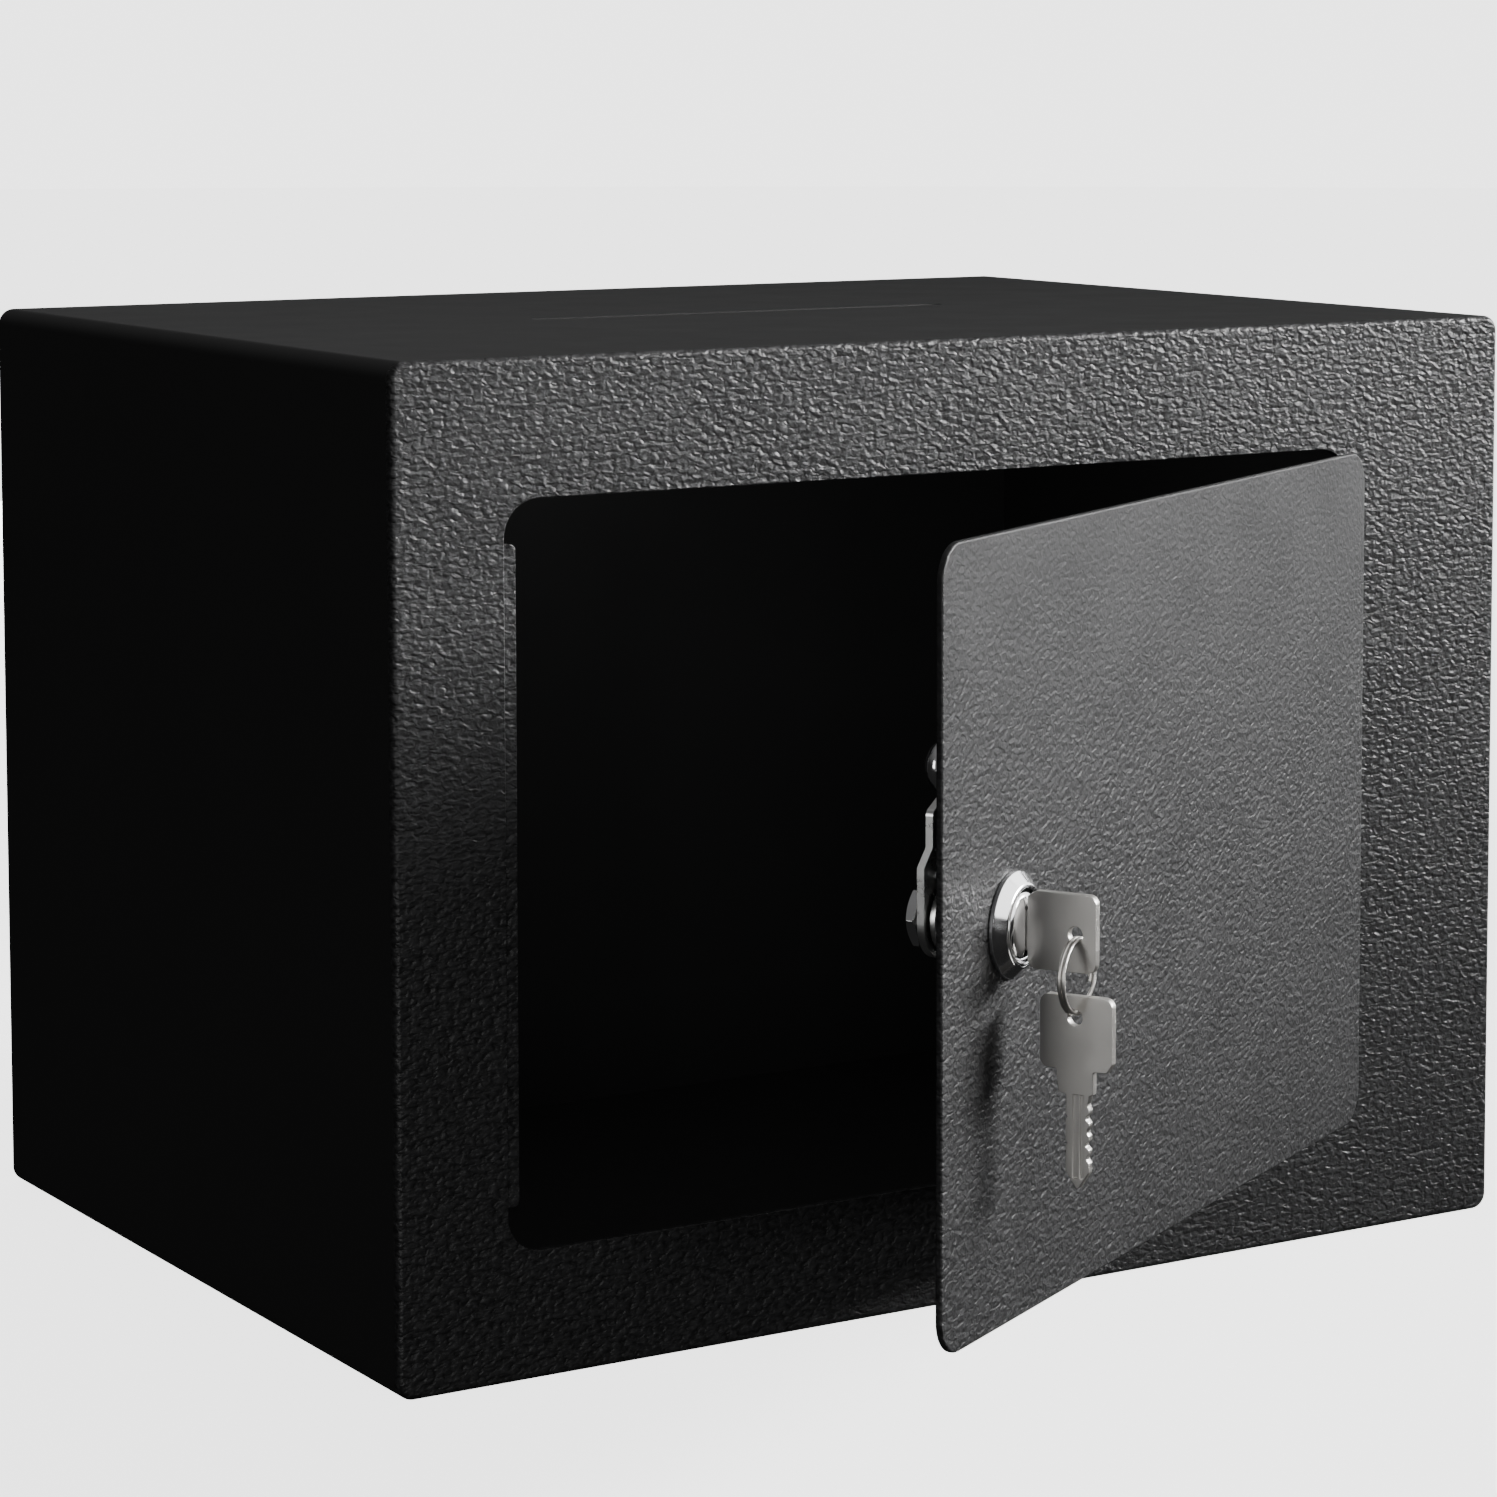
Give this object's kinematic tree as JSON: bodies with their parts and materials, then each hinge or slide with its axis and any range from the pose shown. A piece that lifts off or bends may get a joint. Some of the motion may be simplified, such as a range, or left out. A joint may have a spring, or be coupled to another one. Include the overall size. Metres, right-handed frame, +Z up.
{
  "type": "key safe coin bank",
  "caption": "Small steel key safe with a deposit slot in its top, a plate door on concealed hinges, a cam lock, and two keys on a split ring.",
  "frame": {"origin": "centre of the cabinet's base, on the face it stands on", "axes": "+X to the right seen from the front, +Y towards the back, +Z up"},
  "size_m": [0.23, 0.2605, 0.17],
  "materials": {
    "satin_black_paint": "smooth satin black powder coat",
    "textured_black_paint": "orange-peel textured black powder coat",
    "zinc_steel": "zinc-plated steel",
    "chrome": "bright chrome plate",
    "satin_nickel": "satin nickel plate",
    "brass": "plain brass"
  },
  "bodies": {
    "cabinet": {"cabinet_wrap": "satin_black_paint", "front_panel": "textured_black_paint", "back_panel": "satin_black_paint", "strike_strip": "textured_black_paint", "latch_keeper": "satin_black_paint", "hinge_bracket_upper": "satin_black_paint", "hinge_bracket_lower": "satin_black_paint", "hinge_pin_upper": "zinc_steel", "hinge_pin_lower": "zinc_steel"},
    "door": {"door_panel": "textured_black_paint", "hinge_arm_upper": "satin_black_paint", "hinge_arm_lower": "satin_black_paint", "weld_stud": "zinc_steel", "cap_nut": "chrome", "lock_barrel": "chrome", "lock_washer": "zinc_steel", "lock_nut": "zinc_steel"},
    "lock_core": {"lock_plug": "chrome", "wafer_1": "brass", "wafer_2": "brass", "wafer_3": "brass", "wafer_4": "brass", "stop_washer": "zinc_steel", "lock_cam": "zinc_steel", "cam_spring_washer": "zinc_steel", "cam_nut": "chrome"},
    "seated_key": {"key_1": "satin_nickel"},
    "ring": {"split_ring": "satin_nickel"},
    "spare_key": {"key_2": "satin_nickel"}
  },
  "joints": [
    {"name": "door_swing", "type": "hinge", "parent": "cabinet", "child": "door", "pos_m": [0.0851, -0.07977, 0.084], "axis": [0, 0, 1], "range_deg": [-30, 70]},
    {"name": "lock_turn", "type": "hinge", "parent": "door", "child": "lock_core", "pos_m": [-0.04719, -0.16103, 0.085], "axis": [0.5, -0.866, 0], "range_deg": [0, 90]},
    {"name": "key_slide", "type": "slide", "parent": "lock_core", "child": "seated_key", "axis": [0.5, -0.866, 0], "range_m": [0, 0.019]},
    {"name": "ring_swing", "type": "hinge", "parent": "seated_key", "child": "ring", "pos_m": [-0.04162, -0.17069, 0.08454], "axis": [-0.866, -0.5, 0], "range_deg": [-6, 60]},
    {"name": "spare_key_swing", "type": "hinge", "parent": "ring", "child": "spare_key", "pos_m": [-0.04162, -0.17069, 0.07158], "axis": [-0.866, -0.5, 0], "range_deg": [-8, 50]}
  ]
}
